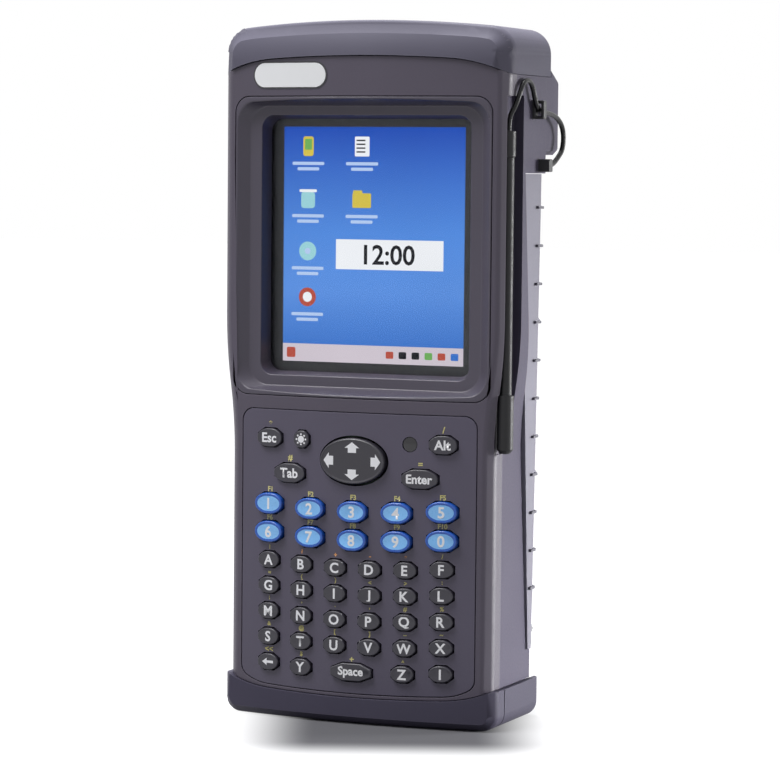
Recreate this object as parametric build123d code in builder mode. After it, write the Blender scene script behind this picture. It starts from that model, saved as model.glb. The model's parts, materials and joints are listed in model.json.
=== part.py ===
from build123d import *
from math import asin, cos, radians, sin, sqrt, tan
import os

os.makedirs("parts", exist_ok=True)

# A rugged upright handheld computer. +X is its right, -Y the way it faces, +Z up.
# The origin is the middle of the face that it stands on. All sizes are in millimetres.

# Case
overall_height = 219.0
head_width = 96.2
waist_inset = 3.35
grip_width = head_width - 2 * waist_inset
waist_low = 83.0
waist_high = 127.0
body_depth = 41.5
face_radius = 235.0
front_depth = 12.2
face_edge = 2.6
back_edge = 3.6
seam_gap = 0.15
fit_gap = 0.2
overcut = 1.0

# Seams between the case and its end bumpers: in the middle, at the shoulder and at the side.
# The upper seam is measured down from the top, as everything above the keys is.
shoulder_inset = 14.75
shoulder_x = grip_width / 2 - shoulder_inset
top_seam_mid_drop = 11.0
top_seam_mid = overall_height - top_seam_mid_drop
top_seam_shoulder_drop = 11.9
top_seam_shoulder = overall_height - top_seam_shoulder_drop
top_seam_side_drop = 16.6
top_seam_side = overall_height - top_seam_side_drop
low_seam_mid = 8.2
low_seam_shoulder = 9.0
low_seam_side = 12.5

# End bumpers
top_overhang = 0.5
low_overhang = 1.75
top_bumper_width = head_width + 2 * top_overhang
low_bumper_width = grip_width + 2 * low_overhang
bumper_proud = 0.8
top_crown_drop = 2.6
top_corner_radius = 8.0
low_corner_radius = 5.0
top_bumper_edge = 4.2
low_bumper_edge = 2.4
bumper_back_edge = 1.6
bumper_roof = 3.5
parting_width = 0.6
parting_depth = 0.4
spigot_inset = 6.75
spigot_width = grip_width - 2 * spigot_inset
spigot_front = 15.0
spigot_back = 6.5
spigot_depth = body_depth - spigot_front - spigot_back

# Key panel
panel_inset = 4.95
panel_width = grip_width - 2 * panel_inset
panel_high = 97.4
panel_low_rise = 1.4
panel_corner = 4.0
panel_seat_depth = 5.0
panel_ledge = 2.6
opening_low = 12.6
sensor_z = 88.3
sensor_diameter = 5.0
sensor_sides = 16
sensor_depth = 0.8

# Display: each step of the bezel takes its place from the one outside it
bezel_inset = 4.7
bezel_width = head_width - 2 * bezel_inset
bezel_panel_gap = 4.5
bezel_low = panel_high + bezel_panel_gap
bezel_drop = 23.7
bezel_high = overall_height - bezel_drop
bezel_corner = 5.0
bezel_rim = 0.7
ledge_side_inset = 4.0
ledge_width = bezel_width - 2 * ledge_side_inset
ledge_end_inset = 2.7
ledge_low = bezel_low + ledge_end_inset
ledge_high = bezel_high - ledge_end_inset
ledge_corner = 7.0
ledge_depth = 6.7
well_side_inset = 3.9
well_width = ledge_width - 2 * well_side_inset
well_low_inset = 3.4
well_low = ledge_low + well_low_inset
well_high_inset = 3.0
well_high = ledge_high - well_high_inset
well_corner = 4.0
well_depth = 12.0
well_draft = 1.1
well_wall = 1.6
bezel_seat_depth = 8.6
glass_thickness = 1.5
glass_border = 1.2
lcd_thickness = 5.0
lcd_border = 0.6

# Keys: six letter columns and five digit columns share the width of the panel
letter_columns = 6
letter_side_margin = 4.46
column_pitch = (panel_width - 2 * letter_side_margin) / letter_columns
letter_gap = 4.18
letter_size = (column_pitch - letter_gap, 5.2)
digit_columns = 5
digit_side_margin = 3.0
digit_pitch = (panel_width - 2 * digit_side_margin) / digit_columns
digit_gap = 4.72
digit_size = (digit_pitch - digit_gap, 6.6)
corner_key_gap = 2.78
corner_key_size = (column_pitch - corner_key_gap, 5.8)
tab_gap = 0.78
tab_size = (column_pitch - tab_gap, 6.0)
enter_size = (column_pitch, 6.0)
light_size = (5.4, 5.4)
space_size = (14.0, 5.6)
row_pitch = 8.11
first_row = 48.8
digit_row_high = 66.6
digit_row_low = 57.7
upper_row = 88.5
lower_row = 77.7
last_row = first_row - 4 * row_pitch
row_bow = 0.0013
key_proud = 1.2
digit_proud = 1.6
cap_corner = 0.28
key_clearance = 0.3
key_travel = 0.8
flange_margin = 0.8
flange_thickness = 1.0
plunger_size = 2.2
key_gap = 0.2

# Four-way rocker
nav_z = 82.5
nav_width = 22.0
nav_height = 14.4
nav_proud = 1.6
nav_clearance = 0.7
nav_thickness = 3.6
pivot_depth = 5.0
pivot_radius = 0.8
pivot_clearance = 0.06
pivot_sides = 8
pivot_half_width = 6.0
pivot_half_height = 4.6
post_size = 1.6
post_height = 3.0
ear_size = 1.6
ear_width = 3.0

# Board, battery and rear shell
case_wall = 4.0
cavity_width = grip_width - 2 * case_wall
cavity_low = 14.0
cavity_drop = 16.0
cavity_high = overall_height - cavity_drop
board_depth = 7.6
board_thickness = 1.6
board_side_gap = 2.25
board_width = cavity_width - 2 * board_side_gap
board_low = 15.0
board_high = 100.0
board_parts = [(34.0, 50.0, 84.0, 3.2), (52.0, 22.0, 40.0, 2.4)]
partition_depth = 19.0
partition_thickness = 2.0
cover_low = 22.0
cover_drop = 47.0
cover_high = overall_height - cover_drop
cover_seam_high = 20.8
cover_thin_edge = 6.9
cover_seam_low = body_depth - cover_thin_edge
cover_low_overhang = 0.65
cover_width_low = grip_width + 2 * cover_low_overhang
cover_high_inset = 1.1
cover_width_high = head_width - 2 * cover_high_inset
cover_wall = 2.5
bay_side_inset = 7.75
bay_width = grip_width - 2 * bay_side_inset
bay_low_inset = 14.0
bay_low = cover_low + bay_low_inset
bay_high_inset = 12.0
bay_high = cover_high - bay_high_inset
bay_corner = 4.0
battery_side_gap = 2.0
battery_gap = 0.3
rib_pitch = 12.0
rib_low_inset = 19.5
rib_first = cover_low + rib_low_inset
rib_high_inset = 10.0
rib_last = cover_high - rib_high_inset
rib_height = 0.8
rib_wrap = 8.0
rib_proud = 0.9
bulge_inset = 0.6
bulge_width = head_width - 2 * bulge_inset
bulge_depth = 10.0
bulge_cover_gap = 6.0
bulge_low = cover_high + bulge_cover_gap
bulge_drop = 12.5
bulge_high = overall_height - bulge_drop
bulge_slope = 5.0
bulge_radius = 2.5
bulge_end_edge = 1.4

# Screws
screw_side_inset = 2.25
screw_x = grip_width / 2 - screw_side_inset
screw_end_inset = 6.0
screw_low = cover_low + screw_end_inset
screw_high = cover_high - screw_end_inset
screw_sides = 8
screw_radius = 1.4
screw_head_radius = 2.4
screw_head_height = 2.0
screw_sink = 3.0
screw_tip_depth = 8.6
screw_clearance = 0.1

# Stylus, its channel and its tether
stylus_inset = 1.3
stylus_x = head_width / 2 - stylus_inset
stylus_depth = 9.2
stylus_low = 86.0
stylus_grip_length = 18.0
stylus_grip_high = stylus_low + stylus_grip_length
stylus_drop = 34.0
stylus_high = overall_height - stylus_drop
stylus_radius = 1.9
stylus_grip_radius = 2.6
stylus_tail_radius = 2.3
stylus_tail_length = 8.0
stylus_sides = 12
stylus_tip_edge = 1.2
stylus_clearance = 0.3
channel_room = 11.0
channel_high = stylus_high + channel_room
recess_depth = 3.3
recess_width = 6.3
tether_diameter = 1.6
tether_sides = 4
tether_bend = 0.45
tether_rise = 4.0
eye_depth = 27.1
eye_drop = 27.2
eye_z = overall_height - eye_drop
eye_length = 2.4
eye_width = 3.8
eye_height = 5.8
eye_wall = 1.0
anchor_back = 7.1
anchor_depth = body_depth - anchor_back
anchor_drop = 17.2
anchor_z = eye_z - anchor_drop
anchor_length = 3.0
anchor_height = 4.0

face_y = -body_depth / 2
back_y = body_depth / 2
split_y = face_y + front_depth
head_half = head_width / 2
grip_half = grip_width / 2
board_y = face_y + board_depth
glass_y = face_y + well_depth
stylus_y = face_y + stylus_depth


def crown(x):
    """How far the curved front face falls back at a distance x from the middle."""
    return face_radius - sqrt(face_radius**2 - x**2)


def facing(y):
    """Sketch plane that looks forward from depth y. Positive amounts come towards the viewer."""
    return Plane.XZ.offset(-y)


def bowed(x):
    """Rise of a bowed row of keys at a distance x from the middle."""
    return row_bow * x**2


def half_seam(mid, shoulder, side_x, side):
    """Right half of a bumper seam: nearly straight in the middle and drawn away at the side."""
    first = TangentArc((0, mid), (shoulder_x, shoulder), tangent=(1, 0))
    TangentArc((shoulder_x, shoulder), (side_x, side), tangent=first % 1)


def case_outline():
    """Front outline of the case between its bumpers, wide at the display and narrow at the keys."""
    waist_mid = ((grip_half + head_half) / 2, (waist_low + waist_high) / 2)
    half_seam(low_seam_mid + seam_gap, low_seam_shoulder + seam_gap, grip_half, low_seam_side + seam_gap)
    Line((grip_half, low_seam_side + seam_gap), (grip_half, waist_low))
    lower = TangentArc((grip_half, waist_low), waist_mid, tangent=(0, 1))
    TangentArc(waist_mid, (head_half, waist_high), tangent=lower % 1)
    Line((head_half, waist_high), (head_half, top_seam_side - seam_gap))
    half_seam(top_seam_mid - seam_gap, top_seam_shoulder - seam_gap, head_half, top_seam_side - seam_gap)
    mirror(about=Plane.YZ)


def crowned_section(half_width, front, back, radius):
    """Section across the body whose front edge follows the curve of the face."""
    drop = radius - sqrt(radius**2 - half_width**2)
    ThreePointArc((-half_width, front + drop), (0, front), (half_width, front + drop))
    Polyline((half_width, front + drop), (half_width, back), (-half_width, back), (-half_width, front + drop))


def zone(width, low, high, corner, mode=Mode.ADD):
    """Rounded rectangle between two heights."""
    with Locations((0, (low + high) / 2)):
        RectangleRounded(width, high - low, corner, mode=mode)


def block(width, low, high):
    """Square-cornered rectangle between two heights."""
    with Locations((0, (low + high) / 2)):
        Rectangle(width, high - low)


def panel_outline(grow=0.0):
    """Outline of the key panel: straight on top, bowed like the bumper seam below."""
    half = panel_width / 2 + grow
    rise = panel_low_rise - grow
    half_seam(low_seam_mid + rise, low_seam_shoulder + rise, half, low_seam_side + rise)
    Polyline((half, low_seam_side + rise), (half, panel_high + grow), (0, panel_high + grow))
    mirror(about=Plane.YZ)


channel_reach = head_half + stylus_grip_radius
channel_floor = stylus_x - stylus_tail_radius - stylus_clearance
pocket_floor = stylus_x - stylus_grip_radius - stylus_clearance
recess_floor = head_half - recess_depth
channel_front = stylus_y - stylus_tail_radius - stylus_clearance
pocket_front = stylus_y - stylus_grip_radius - stylus_clearance
screw_head_y = back_y - screw_sink
screw_tip_y = face_y + screw_tip_depth
screw_spots = [(x, z) for x in (-screw_x, screw_x) for z in (screw_low, screw_high)]

# Front shell: crowned face, bevelled long edges, stepped openings for bezel and key panel
with BuildPart() as front_case:
    with BuildSketch(facing(split_y)):
        with BuildLine():
            case_outline()
        make_face()
    extrude(amount=front_depth)
    with BuildSketch(Plane.XY):
        with BuildLine():
            crowned_section(head_half + overcut, face_y, split_y, face_radius)
        make_face()
    extrude(amount=overall_height, mode=Mode.INTERSECT)
    face_edges = front_case.faces().sort_by(Axis.Y)[0].edges()
    chamfer(face_edges.filter_by(lambda e: abs(e.center().X) > grip_half - overcut), length=face_edge)
    with BuildSketch(facing(face_y + bezel_seat_depth)):
        zone(bezel_width + 2 * fit_gap, bezel_low - fit_gap, bezel_high + fit_gap, bezel_corner + fit_gap)
    extrude(amount=body_depth, mode=Mode.SUBTRACT)
    with BuildSketch(facing(split_y)):
        well_room = well_wall + fit_gap
        zone(well_width + 2 * well_room, well_low - well_room, well_high + well_room, well_corner + well_wall)
    extrude(amount=front_depth, mode=Mode.SUBTRACT)
    with BuildSketch(facing(face_y + panel_seat_depth)) as panel_seat:
        with BuildLine():
            panel_outline(grow=fit_gap)
        make_face()
        fillet(panel_seat.vertices().filter_by(lambda v: abs(v.X) > shoulder_x + overcut), radius=panel_corner)
    extrude(amount=body_depth, mode=Mode.SUBTRACT)
    with BuildSketch(facing(split_y)):
        block(panel_width - 2 * panel_ledge, opening_low, panel_high - panel_ledge)
    extrude(amount=front_depth, mode=Mode.SUBTRACT)
    with BuildSketch(facing(split_y)):
        block(cavity_width, cavity_low, cavity_high)
    extrude(amount=front_depth - board_depth, mode=Mode.SUBTRACT)
    with BuildSketch(Plane.XY.offset(stylus_low - stylus_clearance)):
        with Locations(((channel_floor + channel_reach) / 2, (channel_front + split_y) / 2)):
            Rectangle(channel_reach - channel_floor, split_y - channel_front)
    extrude(amount=channel_high - stylus_low, mode=Mode.SUBTRACT)
    with BuildSketch(Plane.XY.offset(stylus_low - stylus_clearance)):
        with Locations(((pocket_floor + channel_reach) / 2, (pocket_front + split_y) / 2)):
            Rectangle(channel_reach - pocket_floor, split_y - pocket_front)
    extrude(amount=stylus_grip_high - stylus_low + 2 * stylus_clearance, mode=Mode.SUBTRACT)
    with BuildSketch(facing(split_y)):
        with Locations(*screw_spots):
            RegularPolygon(screw_radius + screw_clearance, screw_sides)
    extrude(amount=split_y - screw_tip_y, mode=Mode.SUBTRACT)
front_case.part.label = "front_case"
export_step(front_case.part, "parts/front_case.step")

# Bezel: a moulded frame whose rim slopes in to a flat ledge, with a drafted well down to the glass
with BuildPart() as display_bezel:
    with BuildSketch(facing(face_y + bezel_seat_depth)):
        zone(bezel_width, bezel_low, bezel_high, bezel_corner)
    extrude(amount=bezel_seat_depth)
    with BuildSketch(Plane.XY):
        with BuildLine():
            crowned_section(bezel_width / 2 + overcut, face_y, split_y, face_radius)
        make_face()
    extrude(amount=overall_height, mode=Mode.INTERSECT)
    with BuildSketch(facing(glass_y)):
        zone(well_width + 2 * well_wall, well_low - well_wall, well_high + well_wall, well_corner + well_wall)
    extrude(amount=well_depth - ledge_depth)
    rim_run = bezel_width / 2 - bezel_rim - ledge_width / 2
    side_slope = rim_run / (ledge_depth - crown(bezel_width / 2))
    rim_reach = side_slope * ledge_depth
    with BuildSketch(facing(face_y + ledge_depth)):
        zone(ledge_width, ledge_low, ledge_high, ledge_corner)
    with BuildSketch(facing(face_y)):
        zone(ledge_width + 2 * rim_reach, bezel_low + bezel_rim, bezel_high - bezel_rim, ledge_corner)
    loft(mode=Mode.SUBTRACT)
    with BuildSketch(facing(glass_y)):
        zone(well_width - 2 * well_draft, well_low + well_draft, well_high - well_draft, well_corner)
    with BuildSketch(facing(face_y + ledge_depth)):
        zone(well_width, well_low, well_high, well_corner)
    loft(mode=Mode.SUBTRACT)
display_bezel.part.label = "display_bezel"
export_step(display_bezel.part, "parts/display_bezel.step")

# Touch panel, flat against the back of the well
glass_width = well_width + 2 * glass_border
with BuildPart() as touch_glass:
    with BuildSketch(facing(glass_y)):
        block(glass_width, well_low - glass_border, well_high + glass_border)
    extrude(amount=-glass_thickness)
touch_glass.part.label = "touch_glass"
export_step(touch_glass.part, "parts/touch_glass.step")

# Display module behind the touch panel
lcd_y = glass_y + glass_thickness + fit_gap
with BuildPart() as lcd_module:
    with BuildSketch(facing(lcd_y)):
        block(glass_width + 2 * lcd_border, well_low - 2 * lcd_border, well_high + 2 * lcd_border)
    extrude(amount=-lcd_thickness)
lcd_module.part.label = "lcd_module"
export_step(lcd_module.part, "parts/lcd_module.step")

# Keys: node name, place across, height, width, height of the cap, how proud it stands
keys = [
    ("key_esc", -2.5 * column_pitch, upper_row, *corner_key_size, key_proud),
    ("key_light", -1.52 * column_pitch, upper_row, *light_size, key_proud),
    ("key_alt", 2.5 * column_pitch, upper_row, *corner_key_size, key_proud),
    ("key_tab", -1.88 * column_pitch, lower_row, *tab_size, key_proud),
    ("key_enter", 1.88 * column_pitch, lower_row, *enter_size, key_proud),
    ("key_space", 0.0, last_row, *space_size, key_proud),
    ("key_back", -2.5 * column_pitch, last_row + bowed(2.5 * column_pitch), *letter_size, key_proud),
    ("key_y", -1.5 * column_pitch, last_row + bowed(1.5 * column_pitch), *letter_size, key_proud),
    ("key_z", 1.45 * column_pitch, last_row + bowed(1.45 * column_pitch), *letter_size, key_proud),
    ("key_bar", 2.5 * column_pitch, last_row + bowed(2.5 * column_pitch), *letter_size, key_proud),
]
for place, letter in enumerate("abcdefghijklmnopqrstuvwx"):
    x = (place % letter_columns - (letter_columns - 1) / 2) * column_pitch
    z = first_row - place // letter_columns * row_pitch + bowed(x)
    keys.append((f"key_{letter}", x, z, *letter_size, key_proud))
for place, digit in enumerate("1234567890"):
    x = (place % digit_columns - (digit_columns - 1) / 2) * digit_pitch
    z = (digit_row_high, digit_row_low)[place // digit_columns] + bowed(x)
    keys.append((f"key_{digit}", x, z, *digit_size, digit_proud))


def cap_outline(x, z, width, height):
    """Eight-sided oval of a key cap, which keeps the faces of so many keys few."""
    side = width / 2
    top = height / 2
    shoulder = side - cap_corner * width
    cheek = top - cap_corner * height
    with Locations((x, z)):
        Polygon(
            (side, cheek),
            (shoulder, top),
            (-shoulder, top),
            (-side, cheek),
            (-side, -cheek),
            (-shoulder, -top),
            (shoulder, -top),
            (side, -cheek),
        )


# Key panel: a plate with a curved face and a flat back, a hole for each key, and a sensor recess
sensor_x = 1.58 * column_pitch
with BuildPart() as keypad_panel:
    with BuildSketch(facing(face_y + panel_seat_depth)) as panel_shape:
        with BuildLine():
            panel_outline()
        make_face()
        fillet(panel_shape.vertices().filter_by(lambda v: abs(v.X) > shoulder_x + overcut), radius=panel_corner)
    extrude(amount=panel_seat_depth)
    with BuildSketch(Plane.XY):
        with BuildLine():
            crowned_section(panel_width / 2 + overcut, face_y, split_y, face_radius)
        make_face()
    extrude(amount=overall_height, mode=Mode.INTERSECT)
    with BuildSketch(facing(face_y + panel_seat_depth)):
        for name, x, z, width, height, proud in keys:
            cap_outline(x, z, width + 2 * key_clearance, height + 2 * key_clearance)
        with Locations((0, nav_z)):
            Ellipse(nav_width / 2 + nav_clearance, nav_height / 2 + nav_clearance)
    extrude(amount=panel_seat_depth, mode=Mode.SUBTRACT)
    with BuildSketch(facing(face_y + crown(sensor_x) + sensor_depth)):
        with Locations((sensor_x, sensor_z)):
            RegularPolygon(sensor_diameter / 2, sensor_sides)
    extrude(amount=panel_seat_depth, mode=Mode.SUBTRACT)
keypad_panel.part.label = "keypad_panel"
export_step(keypad_panel.part, "parts/keypad_panel.step")

# Each key: a cap whose top leans with the face, a flange behind the panel and a plunger
flange_front = face_y + panel_seat_depth + key_gap
plunger_y = board_y - key_travel - key_gap
for name, x, z, width, height, proud in keys:
    lean = asin(x / face_radius)
    with BuildPart() as key:
        with BuildSketch(facing(flange_front)):
            cap_outline(x, z, width, height)
        extrude(amount=flange_front - face_y + proud)
        top_plane = Plane(origin=(x, face_y - proud + crown(x), z), z_dir=(sin(lean), -cos(lean), 0))
        split(bisect_by=top_plane, keep=Keep.BOTTOM)
        with BuildSketch(facing(flange_front)):
            with Locations((x, z)):
                Rectangle(width + 2 * flange_margin, height + flange_margin)
        extrude(amount=-flange_thickness)
        with BuildSketch(facing(flange_front)):
            with Locations((x, z)):
                Rectangle(plunger_size, plunger_size)
        extrude(amount=flange_front - plunger_y)
    key.part.label = name
    export_step(key.part, f"parts/{name}.step")

# Four-way rocker: an oval pad with two ears that hang on the upright pin of the pivot cross
pivot_y = face_y + pivot_depth
with BuildPart() as nav_pad:
    with BuildSketch(facing(face_y - nav_proud + nav_thickness)):
        with Locations((0, nav_z)):
            Ellipse(nav_width / 2, nav_height / 2)
    extrude(amount=nav_thickness)
    ear_y = face_y - nav_proud + nav_thickness
    ear_reach = pivot_half_height - ear_size / 2
    with BuildSketch(facing(ear_y)):
        with Locations((0, nav_z - ear_reach), (0, nav_z + ear_reach)):
            Rectangle(ear_width, ear_size)
    extrude(amount=ear_y - pivot_y - ear_width / 2)
    with BuildSketch(Plane.XY.offset(nav_z - nav_height / 2)):
        with Locations((0, pivot_y)):
            RegularPolygon(pivot_radius + pivot_clearance, pivot_sides, major_radius=False)
    extrude(amount=nav_height, mode=Mode.SUBTRACT)
nav_pad.part.label = "nav_pad"
export_step(nav_pad.part, "parts/nav_pad.step")

# Pivot cross: a level pin on the board's posts and an upright pin for the pad
with BuildPart() as nav_pivot:
    with BuildSketch(Plane.YZ.offset(-pivot_half_width)):
        with Locations((pivot_y, nav_z)):
            RegularPolygon(pivot_radius, pivot_sides, major_radius=False)
    extrude(amount=2 * pivot_half_width)
    with BuildSketch(Plane.XY.offset(nav_z - pivot_half_height)):
        with Locations((0, pivot_y)):
            RegularPolygon(pivot_radius, pivot_sides, major_radius=False)
    extrude(amount=2 * pivot_half_height)
nav_pivot.part.label = "nav_pivot"
export_step(nav_pivot.part, "parts/nav_pivot.step")

# Circuit board behind the keys, with the rocker's posts in front and parts on its back
with BuildPart() as main_board:
    with BuildSketch(facing(board_y)):
        block(board_width, board_low, board_high)
    extrude(amount=-board_thickness)
    post_reach = pivot_half_width - post_size / 2
    with BuildSketch(facing(board_y)):
        with Locations((-post_reach, nav_z), (post_reach, nav_z)):
            Rectangle(post_size, post_height)
    extrude(amount=board_y - pivot_y + post_height / 2)
    with BuildSketch(Plane.YZ.offset(-pivot_half_width)):
        with Locations((pivot_y, nav_z)):
            RegularPolygon(pivot_radius + pivot_clearance, pivot_sides, major_radius=False)
    extrude(amount=2 * pivot_half_width, mode=Mode.SUBTRACT)
    for width, low, high, height in board_parts:
        with BuildSketch(facing(board_y + board_thickness)):
            block(width, low, high)
        extrude(amount=-height)
main_board.part.label = "main_board"
export_step(main_board.part, "parts/main_board.step")


def cover_side(grow=0.0):
    """Side view of the battery cover: a wedge that is thick at the top and thin at the bottom."""
    seam_high = face_y + cover_seam_high - grow
    seam_low = face_y + cover_seam_low - grow
    Polyline(
        (seam_low, cover_low - grow),
        (back_y + grow, cover_low - grow),
        (back_y + grow, cover_high + grow),
        (seam_high, cover_high + grow),
        close=True,
    )


# Rear shell: full depth at both ends, a wedge-shaped seat for the cover, a bulge at the top of the back
# and a finger recess behind the stylus
partition_y = face_y + partition_depth
bay_y = partition_y + partition_thickness
with BuildPart() as rear_case:
    with BuildSketch(facing(back_y)):
        with BuildLine():
            case_outline()
        make_face()
    extrude(amount=back_y - split_y)
    back_edges = rear_case.faces().sort_by(Axis.Y)[-1].edges()
    chamfer(back_edges.filter_by(lambda e: abs(e.center().X) > grip_half - overcut), length=back_edge)
    with BuildSketch(Plane.YZ):
        with BuildLine():
            cover_side(grow=seam_gap)
        make_face()
    extrude(amount=head_width, both=True, mode=Mode.SUBTRACT)
    with BuildSketch(Plane.YZ) as bulge_side:
        bulge_y = back_y + bumper_proud + seam_gap
        with BuildLine():
            Polyline(
                (back_y - back_edge, bulge_low),
                (back_y + bulge_depth, bulge_low),
                (back_y + bulge_depth, bulge_high - bulge_slope),
                (bulge_y, bulge_high),
                (bulge_y, top_seam_side - seam_gap),
                (back_y - back_edge, top_seam_side - seam_gap),
                close=True,
            )
        make_face()
        fillet(bulge_side.vertices().sort_by(Axis.X)[-2:], radius=bulge_radius)
    extrude(amount=bulge_width / 2, both=True)
    bulge_ends = rear_case.faces().filter_by(Axis.X).filter_by(lambda f: f.center().Y > back_y)
    chamfer(bulge_ends.edges().filter_by(lambda e: e.center().Y > bulge_y), length=bulge_end_edge)
    with BuildSketch(facing(split_y)):
        block(cavity_width, cavity_low, cavity_high)
    extrude(amount=split_y - partition_y, mode=Mode.SUBTRACT)
    with BuildSketch(facing(bay_y)):
        zone(bay_width, bay_low, bay_high, bay_corner)
    extrude(amount=-body_depth, mode=Mode.SUBTRACT)
    spigot_y = face_y + spigot_front
    for low, high in [
        (low_seam_mid - bumper_roof, low_seam_side + bumper_roof),
        (top_seam_side - bumper_roof, top_seam_mid + bumper_roof),
    ]:
        with BuildSketch(facing(spigot_y)):
            block(spigot_width, low, high)
        extrude(amount=-spigot_depth)
    with BuildSketch(facing(back_y)):
        with Locations(*screw_spots):
            RegularPolygon(screw_radius + screw_clearance, screw_sides)
    extrude(amount=back_y - split_y, mode=Mode.SUBTRACT)
    with BuildSketch(Plane.XY.offset(stylus_low)):
        with Locations(((recess_floor + channel_reach) / 2, split_y + recess_width / 2)):
            Rectangle(channel_reach - recess_floor, recess_width)
    extrude(amount=channel_high - stylus_low, mode=Mode.SUBTRACT)
    eye_y = face_y + eye_depth
    with BuildSketch(facing(eye_y + eye_length / 2)):
        with Locations((head_half + eye_width / 2, eye_z)):
            Rectangle(eye_width, eye_height)
            Rectangle(eye_width - 2 * eye_wall, eye_height - 2 * eye_wall, mode=Mode.SUBTRACT)
    extrude(amount=eye_length)
    with BuildSketch(facing(face_y + anchor_depth)):
        with Locations((head_half + eye_width / 2, anchor_z)):
            Rectangle(eye_width, anchor_height)
    extrude(amount=anchor_length)
rear_case.part.label = "rear_case"
export_step(rear_case.part, "parts/rear_case.step")

# Battery cover: a hollow wedge with level grip ribs
with BuildPart() as battery_cover:
    with BuildSketch(facing(back_y)):
        with BuildLine():
            Polyline(
                (-cover_width_low / 2, cover_low),
                (cover_width_low / 2, cover_low),
                (cover_width_high / 2, cover_high),
                (-cover_width_high / 2, cover_high),
                close=True,
            )
        make_face()
    extrude(amount=body_depth)
    with BuildSketch(Plane.YZ):
        with BuildLine():
            cover_side()
        make_face()
    extrude(amount=head_width, both=True, mode=Mode.INTERSECT)
    back_edges = battery_cover.faces().sort_by(Axis.Y)[-1].edges()
    chamfer(back_edges, length=back_edge)
    for rib in range(1 + int((rib_last - rib_first) / rib_pitch)):
        rib_z = rib_first + rib * rib_pitch
        share = (rib_z - cover_low) / (cover_high - cover_low)
        rib_width = cover_width_low + share * (cover_width_high - cover_width_low) + 2 * rib_proud
        seam_depth = cover_seam_low + share * (cover_seam_high - cover_seam_low)
        rib_front = max(face_y + seam_depth + rib_height, back_y - rib_wrap)
        with BuildSketch(Plane.XY.offset(rib_z - rib_height / 2)):
            with BuildLine():
                Polyline(
                    (0, rib_front),
                    (rib_width / 2, rib_front),
                    (rib_width / 2, back_y - back_edge),
                    (rib_width / 2 - back_edge, back_y + rib_proud),
                    (0, back_y + rib_proud),
                )
                mirror(about=Plane.YZ)
            make_face()
        extrude(amount=rib_height)
    with BuildSketch(facing(back_y - cover_wall)):
        zone(bay_width, bay_low, bay_high, bay_corner)
    extrude(amount=body_depth, mode=Mode.SUBTRACT)
    with BuildSketch(facing(back_y)):
        with Locations(*screw_spots):
            RegularPolygon(screw_radius + screw_clearance, screw_sides)
    extrude(amount=body_depth, mode=Mode.SUBTRACT)
    with BuildSketch(facing(screw_head_y)):
        with Locations(*screw_spots):
            RegularPolygon(screw_head_radius + screw_clearance, screw_sides)
    extrude(amount=-screw_sink - rib_proud, mode=Mode.SUBTRACT)
battery_cover.part.label = "battery_cover"
export_step(battery_cover.part, "parts/battery_cover.step")

# Cell pack between the partition and the cover
with BuildPart() as battery_pack:
    with BuildSketch(facing(bay_y + battery_gap)):
        battery_width = bay_width - 2 * battery_side_gap
        block(battery_width, bay_low + battery_side_gap, bay_high - battery_side_gap)
    extrude(amount=bay_y + 2 * battery_gap + cover_wall - back_y)
battery_pack.part.label = "battery_pack"
export_step(battery_pack.part, "parts/battery_pack.step")

# Four long screws through the cover and the rear shell into the front shell
with BuildPart() as case_screws:
    with BuildSketch(facing(screw_head_y)):
        with Locations(*screw_spots):
            RegularPolygon(screw_head_radius, screw_sides)
    extrude(amount=-screw_head_height)
    with BuildSketch(facing(screw_head_y)):
        with Locations(*screw_spots):
            RegularPolygon(screw_radius, screw_sides)
    extrude(amount=screw_head_y - screw_tip_y - screw_clearance)
case_screws.part.label = "case_screws"
export_step(case_screws.part, "parts/case_screws.step")


def outer_rim(face, half, seam):
    """Edges of a bumper's front or back face that lie on its outside, away from the seam."""
    sides = face.edges().filter_by(lambda e: abs(e.center().X) > half - seam_gap)
    beyond = abs(overall_height / 2 - seam) + overcut
    return sides + face.edges().filter_by(lambda e: abs(e.center().Z - overall_height / 2) > beyond)


# Top bumper: a rubber cap over the upper end
with BuildPart() as top_bumper:
    half = top_bumper_width / 2
    with BuildSketch(facing(back_y + bumper_proud)) as top_shape:
        with BuildLine():
            half_seam(top_seam_mid, top_seam_shoulder, head_half, top_seam_side)
            Line((head_half, top_seam_side), (half, top_seam_side))
            Line((half, top_seam_side), (half, overall_height - top_crown_drop))
            ThreePointArc(
                (half, overall_height - top_crown_drop),
                (half / 2, overall_height - top_crown_drop / 4),
                (0, overall_height),
            )
            mirror(about=Plane.YZ)
        make_face()
        fillet(top_shape.vertices().group_by(Axis.Y)[-2], radius=top_corner_radius)
    extrude(amount=body_depth + 2 * bumper_proud)
    with BuildSketch(Plane.XY):
        with BuildLine():
            crowned_section(half + overcut, face_y - bumper_proud, back_y + bumper_proud, face_radius)
        make_face()
    extrude(amount=overall_height, mode=Mode.INTERSECT)
    chamfer(outer_rim(top_bumper.faces().sort_by(Axis.Y)[0], half, top_seam_mid), length=top_bumper_edge)
    chamfer(outer_rim(top_bumper.faces().sort_by(Axis.Y)[-1], half, top_seam_mid), length=bumper_back_edge)
    spigot_y = face_y + spigot_front
    with BuildSketch(facing(spigot_y - fit_gap)):
        block(spigot_width + 2 * fit_gap, top_seam_side, top_seam_mid + bumper_roof + fit_gap)
    extrude(amount=-spigot_depth - 2 * fit_gap, mode=Mode.SUBTRACT)
top_bumper.part.label = "top_bumper"
export_step(top_bumper.part, "parts/top_bumper.step")

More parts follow.
